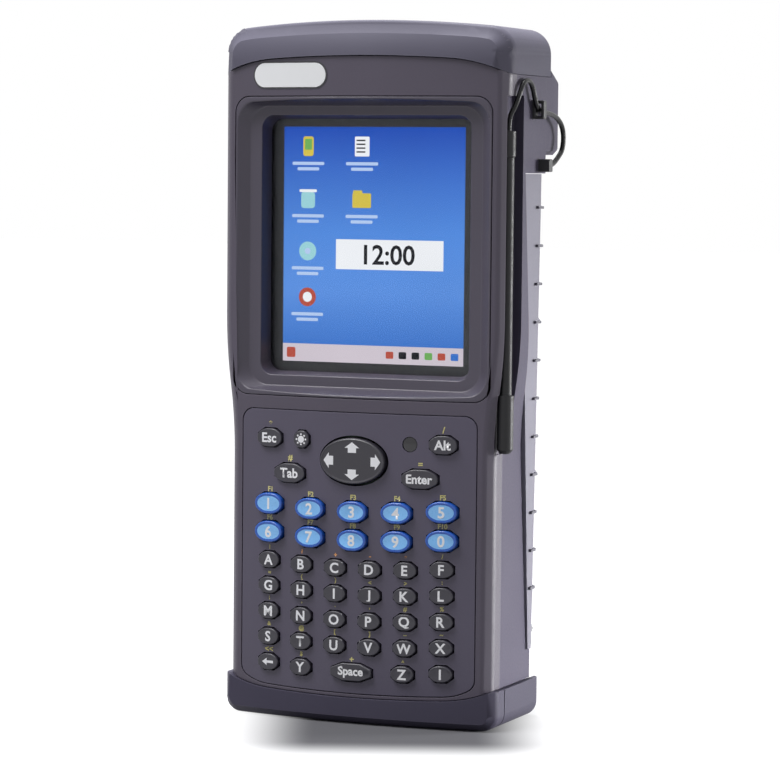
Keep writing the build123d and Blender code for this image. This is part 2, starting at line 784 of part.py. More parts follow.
# Bottom bumper: a rubber cap over the lower end, flat underneath
with BuildPart() as bottom_bumper:
    half = low_bumper_width / 2
    with BuildSketch(facing(back_y + bumper_proud)) as low_shape:
        with BuildLine():
            half_seam(low_seam_mid, low_seam_shoulder, grip_half, low_seam_side)
            Polyline((grip_half, low_seam_side), (half, low_seam_side), (half, 0), (0, 0))
            mirror(about=Plane.YZ)
        make_face()
        foot = low_shape.vertices().group_by(Axis.Y)[0]
        fillet(foot.filter_by(lambda v: abs(v.X) > overcut), radius=low_corner_radius)
    extrude(amount=body_depth + 2 * bumper_proud)
    with BuildSketch(Plane.XY):
        with BuildLine():
            crowned_section(half + overcut, face_y - bumper_proud, back_y + bumper_proud, face_radius)
        make_face()
    extrude(amount=overall_height, mode=Mode.INTERSECT)
    chamfer(outer_rim(bottom_bumper.faces().sort_by(Axis.Y)[0], half, low_seam_mid), length=low_bumper_edge)
    chamfer(outer_rim(bottom_bumper.faces().sort_by(Axis.Y)[-1], half, low_seam_mid), length=bumper_back_edge)
    with BuildSketch(facing(split_y)):
        block(low_bumper_width + 2 * overcut, -overcut, low_seam_side + overcut)
        inner_width = low_bumper_width - 2 * parting_depth
        zone(inner_width, parting_depth, 2 * low_seam_side, low_corner_radius - parting_depth, Mode.SUBTRACT)
    extrude(amount=parting_width / 2, both=True, mode=Mode.SUBTRACT)
    spigot_y = face_y + spigot_front
    with BuildSketch(facing(spigot_y - fit_gap)):
        block(spigot_width + 2 * fit_gap, low_seam_mid - bumper_roof - fit_gap, low_seam_side)
    extrude(amount=-spigot_depth - 2 * fit_gap, mode=Mode.SUBTRACT)
bottom_bumper.part.label = "bottom_bumper"
export_step(bottom_bumper.part, "parts/bottom_bumper.step")

# Stylus: a slim rod with a fat grip below and a tail for the tether on top
with BuildPart() as stylus:
    for radius, low, high in [
        (stylus_grip_radius, stylus_low, stylus_grip_high),
        (stylus_radius, stylus_grip_high, stylus_high),
        (stylus_tail_radius, stylus_high - stylus_tail_length, stylus_high),
    ]:
        with BuildSketch(Plane.XY.offset(low)):
            with Locations((stylus_x, stylus_y)):
                RegularPolygon(radius, stylus_sides)
        extrude(amount=high - low)
    chamfer(stylus.faces().sort_by(Axis.Z)[0].edges(), length=stylus_tip_edge)
stylus.part.label = "stylus"
export_step(stylus.part, "parts/stylus.step")

# Tether: an elastic cord from the stylus's tail, up over the side, through the eye and round to its anchor
# Its loop is given as steps from the middle of the eye.
anchor_y = face_y + anchor_depth
eye_x = head_half + eye_width / 2
tether_loop = [
    (-1.5, -16.95, 0.8),
    (-0.6, -15.65, 4.6),
    (-0.5, -13.25, 7.9),
    (-0.4, -9.45, 9.1),
    (-0.3, -5.75, 7.5),
    (-0.2, -4.05, 3.8),
    (-0.1, -1.75, 0.6),
    (0.0, 1.95, -0.7),
    (0.1, 8.15, -0.9),
    (0.2, 14.65, -2.0),
    (0.2, 19.55, -4.5),
    (0.2, 21.25, -8.3),
    (0.2, 20.05, -12.3),
    (0.1, 16.35, -14.7),
    (0.0, 11.25, -17.2),
]
tether_route = [
    (stylus_x, stylus_y, stylus_high),
    (stylus_x, stylus_y, stylus_high + tether_rise),
    *[(eye_x + x, eye_y + y, eye_z + z) for x, y, z in tether_loop],
    (eye_x, anchor_y, anchor_z),
]
tether_runs = [Vector(*b) - Vector(*a) for a, b in zip(tether_route, tether_route[1:])]
tether_radii = []
for before, after in zip(tether_runs, tether_runs[1:]):
    half_turn = radians(before.get_angle(after)) / 2
    tether_radii.append(tether_bend * min(before.length, after.length) / tan(half_turn))
with BuildPart() as stylus_tether:
    with BuildLine() as tether_path:
        FilletPolyline(*tether_route, radius=tether_radii)
    with BuildSketch(Plane(origin=tether_route[0], z_dir=tether_runs[0])) as tether_section:
        RegularPolygon(tether_diameter / 2, tether_sides)
    sweep(path=tether_path.wire())
tether_length = tether_path.wire().length
print("tether bend radii", [round(radius, 1) for radius in tether_radii])
print("tether length", round(tether_length, 1))
print("tether volume over section times length", round(
    stylus_tether.part.volume / (tether_section.sketch.area * tether_length), 3))
stylus_tether.part.label = "stylus_tether"
export_step(stylus_tether.part, "parts/stylus_tether.step")
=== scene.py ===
import json
import math

import bmesh
import bpy
from mathutils import Matrix, Vector

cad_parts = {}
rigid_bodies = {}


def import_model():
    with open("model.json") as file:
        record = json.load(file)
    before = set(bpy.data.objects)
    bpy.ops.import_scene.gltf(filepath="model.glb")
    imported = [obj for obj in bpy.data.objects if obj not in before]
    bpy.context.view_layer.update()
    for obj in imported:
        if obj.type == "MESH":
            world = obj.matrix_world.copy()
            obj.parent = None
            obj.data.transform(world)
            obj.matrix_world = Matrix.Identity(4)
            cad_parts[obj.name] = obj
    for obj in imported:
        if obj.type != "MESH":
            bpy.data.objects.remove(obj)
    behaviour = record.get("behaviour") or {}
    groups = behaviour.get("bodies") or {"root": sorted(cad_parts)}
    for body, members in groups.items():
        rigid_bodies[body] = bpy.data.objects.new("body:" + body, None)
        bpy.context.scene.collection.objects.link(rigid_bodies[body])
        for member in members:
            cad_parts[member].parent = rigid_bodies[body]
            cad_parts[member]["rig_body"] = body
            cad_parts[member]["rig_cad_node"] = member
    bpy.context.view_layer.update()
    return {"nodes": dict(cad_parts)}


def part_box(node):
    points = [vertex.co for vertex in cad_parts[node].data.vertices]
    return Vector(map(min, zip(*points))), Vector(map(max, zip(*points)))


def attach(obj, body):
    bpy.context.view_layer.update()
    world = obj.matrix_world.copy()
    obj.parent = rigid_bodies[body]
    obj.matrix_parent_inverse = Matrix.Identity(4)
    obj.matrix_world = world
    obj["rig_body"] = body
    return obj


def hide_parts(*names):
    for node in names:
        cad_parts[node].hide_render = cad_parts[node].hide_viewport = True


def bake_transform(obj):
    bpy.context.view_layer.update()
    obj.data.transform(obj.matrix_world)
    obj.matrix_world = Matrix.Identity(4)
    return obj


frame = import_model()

bpy.context.scene.view_settings.view_transform = "Standard"

# Rear shell: the deep half of the body, one charcoal moulding with side walls, a bulge behind the
# display and the eye of the stylus cord. It is injection moulded and screwed to the front shell.


def linear(code):
    """Linear colour of an sRGB hex code."""
    shares = [int(code[place:place + 2], 16) / 255 for place in (1, 3, 5)]
    return tuple(s / 12.92 if s <= 0.04045 else ((s + 0.055) / 1.055) ** 2.4 for s in shares) + (1.0,)


def add(tree, kind, inputs=None, **settings):
    """A node with its settings made and its inputs set or linked."""
    node = tree.nodes.new(kind)
    for name, value in settings.items():
        setattr(node, name, value)
    for name, value in (inputs or {}).items():
        if isinstance(value, bpy.types.NodeSocket):
            tree.links.new(value, node.inputs[name])
        else:
            node.inputs[name].default_value = value
    return node


def new_material(name):
    """A material, its node tree, its shader and the place on the object in metres."""
    material = bpy.data.materials.new(name)
    material.use_nodes = True
    tree = material.node_tree
    place = add(tree, "ShaderNodeTexCoord").outputs["Object"]
    return material, tree, tree.nodes["Principled BSDF"], place


EDGE_WEAR_MM = 0.5
CLOUD_MM = 40
POLISH_SPREAD = 0.06
PLASTIC_IOR = 1.53


def moulded(name, colour, mottle, worn, roughness, grain_mm, relief_mm=0.03, specular=0.5):
    """Moulded plastic or rubber: a grained skin, clouded by handling and paler where its edges rub."""
    material, tree, shader, place = new_material(name)
    grain = add(tree, "ShaderNodeTexNoise", {"Vector": place, "Scale": 1000 / grain_mm, "Detail": 3.0})
    clouds = add(tree, "ShaderNodeTexNoise", {"Vector": place, "Scale": 1000 / CLOUD_MM, "Detail": 5.0})
    handled = add(tree, "ShaderNodeMapRange", {
        "Value": clouds.outputs["Fac"], "From Min": 0.35, "From Max": 0.7})
    skin = add(tree, "ShaderNodeMixRGB", {
        "Fac": handled.outputs["Result"], "Color1": linear(colour), "Color2": linear(mottle)})
    rounded = add(tree, "ShaderNodeBevel", {"Radius": EDGE_WEAR_MM / 1000}, samples=4)
    flat = add(tree, "ShaderNodeNewGeometry").outputs["Normal"]
    kept = add(tree, "ShaderNodeVectorMath", {
        0: rounded.outputs["Normal"], 1: flat}, operation="DOT_PRODUCT")
    rubbed = add(tree, "ShaderNodeMapRange", {
        "Value": kept.outputs["Value"], "From Min": 0.99, "From Max": 0.85, "To Max": 0.5})
    edges = add(tree, "ShaderNodeMixRGB", {
        "Fac": rubbed.outputs["Result"], "Color1": skin.outputs["Color"], "Color2": linear(worn)})
    polish = add(tree, "ShaderNodeMapRange", {
        "Value": grain.outputs["Fac"], "From Min": 0.3, "From Max": 0.7,
        "To Min": roughness - POLISH_SPREAD, "To Max": roughness + POLISH_SPREAD})
    bump = add(tree, "ShaderNodeBump", {
        "Strength": 0.5, "Distance": relief_mm / 1000, "Height": grain.outputs["Fac"]})
    tree.links.new(edges.outputs["Color"], shader.inputs["Base Color"])
    tree.links.new(polish.outputs["Result"], shader.inputs["Roughness"])
    tree.links.new(bump.outputs["Normal"], shader.inputs["Normal"])
    shader.inputs["IOR"].default_value = PLASTIC_IOR
    shader.inputs["Specular IOR Level"].default_value = specular
    return material


def pick(piece, test):
    """In edit mode, selects the edges whose middle in millimetres and fold in degrees pass the test."""
    bpy.ops.mesh.select_mode(type="EDGE")
    bpy.ops.mesh.select_all(action="DESELECT")
    mesh = bmesh.from_edit_mesh(piece.data)
    for edge in mesh.edges:
        if len(edge.link_faces) == 2:
            middle = (edge.verts[0].co + edge.verts[1].co) * 500
            edge.select_set(bool(test(middle, math.degrees(edge.calc_face_angle()))))
    bmesh.update_edit_mesh(piece.data)


def choose(piece, test):
    """In edit mode, selects the faces whose normal and middle in millimetres pass the test."""
    bpy.ops.mesh.select_mode(type="FACE")
    bpy.ops.mesh.select_all(action="DESELECT")
    mesh = bmesh.from_edit_mesh(piece.data)
    for face in mesh.faces:
        if test(face.normal, face.calc_center_median() * 1000):
            face.select_set(True)
    bmesh.update_edit_mesh(piece.data)


FLAT_WEIGHT = 90


def settle_normals(piece, smooth):
    """Shades folds below so many degrees as round, with the large flats kept flat."""
    bpy.ops.object.shade_smooth_by_angle(angle=math.radians(smooth))
    weights = piece.modifiers.new("flats", "WEIGHTED_NORMAL")
    weights.keep_sharp = True
    weights.weight = FLAT_WEIGHT
    bpy.ops.object.modifier_apply(modifier=weights.name)


def take(piece):
    """Makes a piece the active one and the only one selected."""
    bpy.ops.object.select_all(action="DESELECT")
    piece.select_set(True)
    bpy.context.view_layer.objects.active = piece


WELD_M = 0.000001
LEVEL_FOLD = 0.4


def dressed(node, material, rounds, smooth=40.0, flats=None):
    """Piece that stands for a CAD node: a welded copy with rounded edges that rides on the node's body.

    Each round is a width in millimetres, a number of steps, and the test that picks its edges. Flats is
    the test that chooses the faces whose level neighbours are joined first.
    """
    source = frame["nodes"][node]
    take(source)
    bpy.ops.object.duplicate()
    piece = bpy.context.active_object
    bpy.ops.object.parent_clear(type="CLEAR_KEEP_TRANSFORM")
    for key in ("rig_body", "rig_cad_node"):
        del piece[key]
    piece.name = node + ".dressed"
    piece.data.materials.clear()
    piece.data.materials.append(material)
    bpy.ops.object.mode_set(mode="EDIT")
    bpy.ops.mesh.customdata_custom_splitnormals_clear()
    bpy.ops.mesh.select_all(action="SELECT")
    bpy.ops.mesh.remove_doubles(threshold=WELD_M)
    if flats:
        choose(piece, flats)
        bpy.ops.mesh.dissolve_limited(angle_limit=math.radians(LEVEL_FOLD))
    for width, steps, test in rounds:
        pick(piece, test)
        bpy.ops.mesh.bevel(
            offset=width / 1000, segments=steps, profile=0.5, affect="EDGES", clamp_overlap=False)
    bpy.ops.mesh.select_all(action="SELECT")
    bpy.ops.mesh.dissolve_degenerate(threshold=WELD_M)
    bpy.ops.object.mode_set(mode="OBJECT")
    bpy.ops.object.shade_flat()
    if smooth:
        settle_normals(piece, smooth)
    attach(piece, source["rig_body"])
    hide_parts(node)
    return piece


CORNER_FOLD = 62


def square(fold):
    """Whether an edge folds as sharply, in degrees, as a plain corner does."""
    return fold > CORNER_FOLD


SIDE_X = 48.1
EYE_ROOT = 0.3
SIDE_SLACK = 0.05
# A dull violet-grey skin for the shell, painted paler than the front shell as the light on the side, and a
# black one for the cord's eye and anchor, which is partly painted shade under the cord's loop.
rear_plastic_painted_light = moulded("rear_moulded_abs_painted_light", "#565262", "#5b5767", "#7f7b8a", 0.5, 0.7, specular=0.1)
loop_black_painted_shade = moulded("loop_black_abs_painted_shade", "#141417", "#18181c", "#2c2c31", 0.5, 0.7)
rear_shell = dressed("rear_case", rear_plastic_painted_light, [
    (0.35, 2, lambda p, fold: square(fold) and p.x > SIDE_X + EYE_ROOT),
])
rear_shell.data.materials.append(loop_black_painted_shade)
# Faces beyond the side take the black, which is partly painted shade under the loop.
for face in rear_shell.data.polygons:
    face.material_index = int(face.center.x * 1000 > SIDE_X + SIDE_SLACK)

# Circuit board: green glass-epoxy laminate behind the keys, hidden once the case is closed.
# It is etched, soldered and dropped into the front shell.


def paint(node, material):
    """Gives its material to a CAD node that is shown as it is."""
    frame["nodes"][node].data.materials.clear()
    frame["nodes"][node].data.materials.append(material)


# Satin green, a little clouded, as resin over glass cloth is.
paint("main_board", moulded("board_glass_epoxy", "#1f4a34", "#275a40", "#3a7355", 0.4, 1.2))

# Cell pack: shrink-wrapped cells under the battery cover, hidden once the cover is on.
# The film is a slate grey sleeve, shrunk tight and a little glossy.
paint("battery_pack", moulded("cell_shrink_film", "#2d3138", "#343941", "#545a64", 0.35, 3.0))

# Screws and pivot cross: turned steel, the screws driven from behind and seen in their deep holes.
# The screws are zinc plated, and the cross is ground bright and runs between the board and the rocker.


def turned_steel(name, colour, lathe_mm):
    """Bright steel, its gloss broken up by fine tool marks."""
    material, tree, shader, place = new_material(name)
    marks = add(tree, "ShaderNodeTexNoise", {"Vector": place, "Scale": 1000 / lathe_mm, "Detail": 4.0})
    polish = add(tree, "ShaderNodeMapRange", {"Value": marks.outputs["Fac"], "To Min": 0.25, "To Max": 0.45})
    tree.links.new(polish.outputs["Result"], shader.inputs["Roughness"])
    shader.inputs["Base Color"].default_value = linear(colour)
    shader.inputs["Metallic"].default_value = 1.0
    return material


paint("case_screws", turned_steel("zinc_plated_steel", "#8d8f92", 0.4))
paint("nav_pivot", turned_steel("ground_steel", "#c4c6c8", 0.3))

# Front shell: the shallow half with a crowned face and soft long edges, in charcoal ABS.
# It is injection moulded with a fine even grain and carries the bezel, the key panel and the badge plate.
FACE_Y = -20.75
FACE_RADIUS = 235.0


def crown(x):
    """How far the front face falls back at a distance x from the middle, in millimetres."""
    return FACE_RADIUS - math.sqrt(FACE_RADIUS**2 - x**2)


def past_face(p):
    """How far a point in millimetres lies behind the crowned front face."""
    return p.y - FACE_Y - crown(p.x)


CROWN_SLACK = 0.06


def shade_crown(piece):
    """Gives the crowned front the true normals of its curve, so that no facet or cut shows on it."""
    mesh = piece.data
    depths = [past_face(v.co * 1000) for v in mesh.vertices]
    front = min(depths)
    normals = [Vector(normal.vector) for normal in mesh.corner_normals]
    for face in mesh.polygons:
        if all(depths[v] < front + CROWN_SLACK for v in face.vertices):
            for loop in face.loop_indices:
                share = mesh.vertices[mesh.loops[loop].vertex_index].co.x * 1000 / FACE_RADIUS
                normals[loop] = Vector((share, -math.sqrt(1 - share**2), 0))
    mesh.normals_split_custom_set(normals)


def looks_ahead(normal, p):
    """Whether a face is turned to the front or sideways: the broad rings at the back stay cut up."""
    return normal.y < 0.5


CHAMFER_FOLD = 25


def chamfered(fold):
    """Whether an edge folds, in degrees, as those along a chamfer do."""
    return CHAMFER_FOLD < fold < CORNER_FOLD


LONG_EDGE_X = 40
LONG_EDGE_Y = -13
FACE_SLACK = 0.1
# An even dark violet-grey with a soft sheen, paler on the rubbed rims of the openings.
front_plastic = moulded("front_moulded_abs", "#433d4b", "#484251", "#686270", 0.5, 0.7)
front_shell = dressed("front_case", front_plastic, [
    (1.2, 5, lambda p, fold: chamfered(fold) and abs(p.x) > LONG_EDGE_X and p.y < LONG_EDGE_Y),
    (0.25, 2, lambda p, fold: square(fold) and past_face(p) < FACE_SLACK),
], flats=looks_ahead)
shade_crown(front_shell)

# Badge plate: a bare pale pill of satin film set on the face above the display.
# It is die cut and bonded, and follows the crown of the face.


def tile(name, x, z, width, height, corner, front_y, thickness, material, steps=6):
    """Thin upright plate with rounded corners, in millimetres, with its front at front_y."""
    bpy.ops.object.select_all(action="DESELECT")
    bpy.ops.mesh.primitive_plane_add(size=0.001, rotation=(math.pi / 2, 0, 0))
    piece = bpy.context.active_object
    piece.name = name
    piece.scale = (width, height, 1)
    piece.location = (x / 1000, front_y / 1000, z / 1000)
    bpy.ops.object.transform_apply(location=True, rotation=True, scale=True)
    bpy.ops.object.mode_set(mode="EDIT")
    bpy.ops.mesh.select_all(action="SELECT")
    if corner:
        bpy.ops.mesh.bevel(offset=corner / 1000, segments=steps, affect="VERTICES", clamp_overlap=True)
    if thickness:
        bpy.ops.mesh.select_all(action="SELECT")
        bpy.ops.mesh.extrude_region_move(TRANSFORM_OT_translate={"value": (0, thickness / 1000, 0)})
        bpy.ops.mesh.select_all(action="SELECT")
        bpy.ops.mesh.normals_make_consistent(inside=False)
    bpy.ops.object.mode_set(mode="OBJECT")
    piece.data.materials.append(material)
    return piece


def lay_on_face(piece, proud):
    """Bends a flat piece so that it follows the crowned face, proud of it by so many millimetres."""
    for vertex in piece.data.vertices:
        vertex.co.y += (FACE_Y + crown(vertex.co.x * 1000) - proud) / 1000


def cut_at(point, normal):
    """In edit mode, cuts the whole mesh at a plane through a point in metres."""
    bpy.ops.mesh.select_all(action="SELECT")
    bpy.ops.mesh.bisect(plane_co=point, plane_no=normal)


BADGE_X = -23.45
BADGE_Z = 201.95
BADGE_WIDTH = 25.5
BADGE_HEIGHT = 7.5
BADGE_CORNER = 3.74
BADGE_CUT = 2
# Near white with a silky gloss, and a thin near-black line round it.
badge_film = moulded("badge_satin_film", "#eceef0", "#f2f3f5", "#fafafb", 0.34, 1.4, 0.01)
badge_rim = moulded("badge_dark_edge", "#26252b", "#2b2a31", "#3a3942", 0.4, 1.0, 0.01)
for name, grow, thickness, proud, film in (
    ("badge_edge", 0.55, 0.3, 0.1, badge_rim),
    ("badge_plate", 0.0, 0.3, 0.22, badge_film),
):
    plate = tile(
        name, BADGE_X, BADGE_Z, BADGE_WIDTH + 2 * grow, BADGE_HEIGHT + 2 * grow, BADGE_CORNER + grow,
        0, thickness, film, 10)
    bpy.ops.object.mode_set(mode="EDIT")
    for cut in range(-6, 7):
        cut_at(((BADGE_X + cut * BADGE_CUT) / 1000, 0, 0), (1, 0, 0))
    bpy.ops.object.mode_set(mode="OBJECT")
    lay_on_face(plate, proud)
    bpy.ops.object.shade_smooth_by_angle(angle=math.radians(30))
    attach(plate, "case")

# Display module: a framed liquid-crystal panel behind the touch glass, with a lit picture.
# The picture is a plain blue desktop with made-up signs and a clock, and has no words.
LCD_Y = -7.05
SCREEN_X = 30.9
SCREEN_LOW = 112.1
SCREEN_HIGH = 186.1


def everywhere(normal, p):
    """Test that chooses every face."""
    return True


# Matt black round the picture.
lcd_frame = moulded("lcd_frame_black", "#17171b", "#1b1b20", "#2a2a30", 0.5, 1.0)
lcd = dressed("lcd_module", lcd_frame, [
    (0.2, 1, lambda p, fold: square(fold)),
], smooth=0, flats=everywhere)


BACKLIGHT_MM = 30


def lit(name, colour):
    """Lit dots of one colour behind the glass, a little uneven as a backlight is."""
    material, tree, shader, place = new_material(name)
    backlight = add(tree, "ShaderNodeTexNoise", {
        "Vector": place, "Scale": 1000 / BACKLIGHT_MM, "Detail": 1.0})
    glow = add(tree, "ShaderNodeMapRange", {
        "Value": backlight.outputs["Fac"], "To Min": 0.92, "To Max": 1.06})
    tree.links.new(glow.outputs["Result"], shader.inputs["Emission Strength"])
    shader.inputs["Emission Color"].default_value = linear(colour)
    shader.inputs["Base Color"].default_value = linear("#08080a")
    shader.inputs["Roughness"].default_value = 0.5
    shader.inputs["Specular IOR Level"].default_value = 0.05
    return material


# A blue sky, palest a third of the way up and deepest at the top, where the deep blue is partly painted shade
# from the bezel above it.
picture = lit("lcd_picture_blue", "#3c79cf")
tree = picture.node_tree
height = add(tree, "ShaderNodeSeparateXYZ", {"Vector": tree.nodes["Texture Coordinate"].outputs["Object"]})
climb = add(tree, "ShaderNodeMapRange", {
    "Value": height.outputs["Z"], "From Min": SCREEN_LOW / 1000, "From Max": SCREEN_HIGH / 1000})
sky_and_painted_shade = add(tree, "ShaderNodeValToRGB", {"Fac": climb.outputs["Result"]})
sky_and_painted_shade.color_ramp.elements[0].color = linear("#2f6cc4")
sky_and_painted_shade.color_ramp.elements[1].color = linear("#1a4cb6")
for share, colour in ((0.3, "#5c92e2"), (0.55, "#528ce0")):
    sky_and_painted_shade.color_ramp.elements.new(share).color = linear(colour)
tree.links.new(sky_and_painted_shade.outputs["Color"], tree.nodes["Principled BSDF"].inputs["Emission Color"])
lcd.data.materials.append(picture)
take(lcd)
bpy.ops.object.mode_set(mode="EDIT")
for point, normal in (
    ((SCREEN_X, 0, 0), (1, 0, 0)), ((-SCREEN_X, 0, 0), (1, 0, 0)),
    ((0, 0, SCREEN_LOW), (0, 0, 1)), ((0, 0, SCREEN_HIGH), (0, 0, 1)),
):
    cut_at(Vector(point) / 1000, normal)
bpy.ops.object.mode_set(mode="OBJECT")
for face in lcd.data.polygons:
    middle = face.center * 1000
    if face.normal.y < -0.9 and abs(middle.x) < SCREEN_X and SCREEN_LOW < middle.z < SCREEN_HIGH:
        face.material_index = 1

white_dots = lit("lcd_white", "#f4f5f8")
pale_dots = lit("lcd_pale_grey", "#d3c8d1")
ink_dots = lit("lcd_ink", "#14151c")
sun_dots = lit("lcd_yellow", "#d8c24a")
leaf_dots = lit("lcd_green", "#6fae5a")
rust_dots = lit("lcd_red", "#b8503f")
sea_dots = lit("lcd_teal", "#9fd6dc")
label_dots = lit("lcd_label_blue", "#b9cff2")
signs = []


def dot_tile(x, z, width, height, corner, dots, layer=1):
    """Part of the picture, just before the display's face and behind the touch glass."""
    signs.append(tile("screen_sign", x, z, width, height, corner, LCD_Y - 0.02 * layer, 0, dots, 4))


SIGN_LEFT = -22.5
SIGN_RIGHT = -4.0
# Each sign's tiles: place across and up, width, height, corner, dots and layer.
page_lines = [(-0.4, 1.9 - 1.2 * line, 3.0, 0.45, 0, ink_dots, 2) for line in range(4)]
for x, z, parts in (
    (SIGN_LEFT, 180.0, [(0, 0, 3.6, 6.2, 0.8, sun_dots, 1), (0, 0.6, 2.4, 3.4, 0.2, leaf_dots, 2)]),
    (SIGN_RIGHT, 180.0, [(0, 0, 5.0, 6.2, 0.3, white_dots, 1)] + page_lines),
    (SIGN_LEFT, 163.5, [(0, -0.4, 4.8, 5.2, 1.0, sea_dots, 1), (0, 2.5, 6.0, 0.9, 0.3, white_dots, 2)]),
    (SIGN_RIGHT, 163.5, [(-1.4, 2.0, 3.2, 1.6, 0.4, sun_dots, 1), (0, -0.4, 6.4, 4.6, 0.4, sun_dots, 2)]),
    (SIGN_LEFT, 147.0, [(0, 0, 6.0, 6.0, 2.99, sea_dots, 1), (0, 0, 2.0, 2.0, 0.99, label_dots, 2)]),
    (SIGN_LEFT, 132.5, [(0, 0, 6.0, 6.0, 2.99, rust_dots, 1), (0, 0, 3.2, 3.2, 1.59, white_dots, 2)]),
):
    for across, rise, width, height, corner, dots, layer in parts:
        dot_tile(x + across, z + rise, width, height, corner, dots, layer)
    for drop, width in ((5.4, 11.0), (7.1, 7.5)):
        dot_tile(x, z - drop, width, 1.0, 0.3, label_dots)
BAR_HEIGHT = 5.6
BAR_Z = SCREEN_LOW + BAR_HEIGHT / 2
dot_tile(0, BAR_Z, 2 * SCREEN_X, BAR_HEIGHT, 0, pale_dots)
dot_tile(-28.0, BAR_Z, 3.0, 3.2, 0.5, rust_dots, 2)
for place, dots in enumerate((rust_dots, ink_dots, ink_dots, leaf_dots, rust_dots, picture)):
    dot_tile(6.0 + 4.4 * place, BAR_Z, 2.6, 2.2, 0.4, dots, 2)
CLOCK_X = 5.6
CLOCK_Z = 146.2
dot_tile(CLOCK_X, CLOCK_Z, 36.6, 9.4, 0, white_dots, 2)
CAPITAL_SHARE = 0.7


def lettering(text, height, x, y, z, lean, material, bold=0.0):
    """Printed characters of a height in millimetres, centred at a place and leaning with the crown."""
    bpy.ops.object.select_all(action="DESELECT")
    bpy.ops.object.text_add(rotation=(math.pi / 2, 0, lean))
    words = bpy.context.active_object
    words.data.body = text
    words.data.size = height / 1000 / CAPITAL_SHARE
    words.data.offset = bold / 1000
    words.data.resolution_u = 3
    bpy.ops.object.convert(target="MESH")
    words = bpy.context.active_object
    bpy.ops.object.origin_set(type="ORIGIN_GEOMETRY", center="BOUNDS")
    words.location = (x / 1000, y / 1000, z / 1000)
    bpy.ops.object.transform_apply(location=True, rotation=True, scale=True)
    words.data.materials.clear()
    words.data.materials.append(material)
    return words


signs.append(lettering("12:00", 6.0, CLOCK_X, LCD_Y - 0.06, CLOCK_Z, 0, ink_dots, 0.15))


def joined(pieces, name):
    """Several pieces made one mesh under a name."""
    bpy.ops.object.select_all(action="DESELECT")
    for piece in pieces:
        piece.select_set(True)
    bpy.context.view_layer.objects.active = pieces[0]
    if len(pieces) > 1:
        bpy.ops.object.join()
    pieces[0].name = name
    return pieces[0]


screen_signs = joined(signs, "screen_signs")
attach(screen_signs, "case")

# Touch glass: a clear coated pane at the bottom of the bezel's well.
# It is cut from thin float glass, its edges are broken, and it is bonded at its border.
SMEAR_MM = 14
COATED_IOR = 1.16
# Clear with little reflection, because it is coated, and hazed in places by fingers.
touch_glass, tree, shader, place = new_material("touch_float_glass")
smears = add(tree, "ShaderNodeTexNoise", {"Vector": place, "Scale": 1000 / SMEAR_MM, "Detail": 6.0})
haze = add(tree, "ShaderNodeMapRange", {
    "Value": smears.outputs["Fac"], "From Min": 0.4, "From Max": 0.75, "To Min": 0.02, "To Max": 0.1})
tree.links.new(haze.outputs["Result"], shader.inputs["Roughness"])
shader.inputs["Base Color"].default_value = linear("#f6f8fa")
shader.inputs["Transmission Weight"].default_value = 1.0
shader.inputs["IOR"].default_value = COATED_IOR
glass = dressed("touch_glass", touch_glass, [
    (0.15, 1, lambda p, fold: square(fold)),
], smooth=0, flats=everywhere)

# Bezel: a dark moulded frame whose sloped rim, ledge and deep well shade the display.
# It is a separate part with a smoother grain, pressed into the front shell from before.
bezel_plastic = moulded("bezel_moulded_abs", "#403b49", "#45404e", "#65606f", 0.42, 0.6)
bezel = dressed("display_bezel", bezel_plastic, [(0.3, 2, lambda p, fold: fold > CHAMFER_FOLD)])

# Key panel: a crowned plate with a hole for each key and a round window for the light sensor.
# It is moulded in a slightly paler, bluer charcoal than the case and held by the front shell.
panel_plastic = moulded("panel_moulded_abs", "#464152", "#4b4658", "#696476", 0.48, 0.6)
PANEL_X = 35.2
PANEL_LOW = 13.3
PANEL_HIGH = 96.5


def on_border(p):
    """Whether a place in millimetres lies on the panel's outer border."""
    return abs(p.x) > PANEL_X or p.z < PANEL_LOW or p.z > PANEL_HIGH


panel = dressed("keypad_panel", panel_plastic, [
    (0.25, 2, lambda p, fold: square(fold) and past_face(p) < FACE_SLACK and on_border(p)),
], flats=looks_ahead)
shade_crown(panel)
# A dark glossy dot, as tinted acrylic is.
window_plastic = moulded("sensor_tinted_acrylic", "#1a191e", "#1d1c22", "#2b2a31", 0.12, 2.0, 0.002)
SENSOR_X = 18.6
SENSOR_Z = 88.3
SENSOR_RADIUS = 2.2
SENSOR_SUNK = 0.75
SENSOR_THICK = 0.5
SENSOR_RIM = 0.5
SENSOR_STEP = 0.15
bpy.ops.object.select_all(action="DESELECT")
bpy.ops.mesh.primitive_circle_add(
    vertices=40, radius=SENSOR_RADIUS / 1000, fill_type="NGON",
    rotation=(math.pi / 2, 0, math.asin(SENSOR_X / FACE_RADIUS)),
    location=(SENSOR_X / 1000, (FACE_Y + crown(SENSOR_X) + SENSOR_SUNK) / 1000, SENSOR_Z / 1000))
sensor_window = bpy.context.active_object
sensor_window.name = "sensor_window"
bpy.ops.object.transform_apply(location=True, rotation=True, scale=True)
bpy.ops.object.mode_set(mode="EDIT")
bpy.ops.mesh.select_all(action="SELECT")
bpy.ops.mesh.extrude_region_move(TRANSFORM_OT_translate={"value": (0, -SENSOR_THICK / 1000, 0)})
bpy.ops.mesh.inset(thickness=SENSOR_RIM / 1000, depth=SENSOR_STEP / 1000)
bpy.ops.mesh.select_all(action="SELECT")
bpy.ops.mesh.normals_make_consistent(inside=False)
bpy.ops.object.mode_set(mode="OBJECT")
bpy.ops.object.shade_smooth_by_angle(angle=math.radians(30))
sensor_window.data.materials.append(window_plastic)
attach(sensor_window, "case")
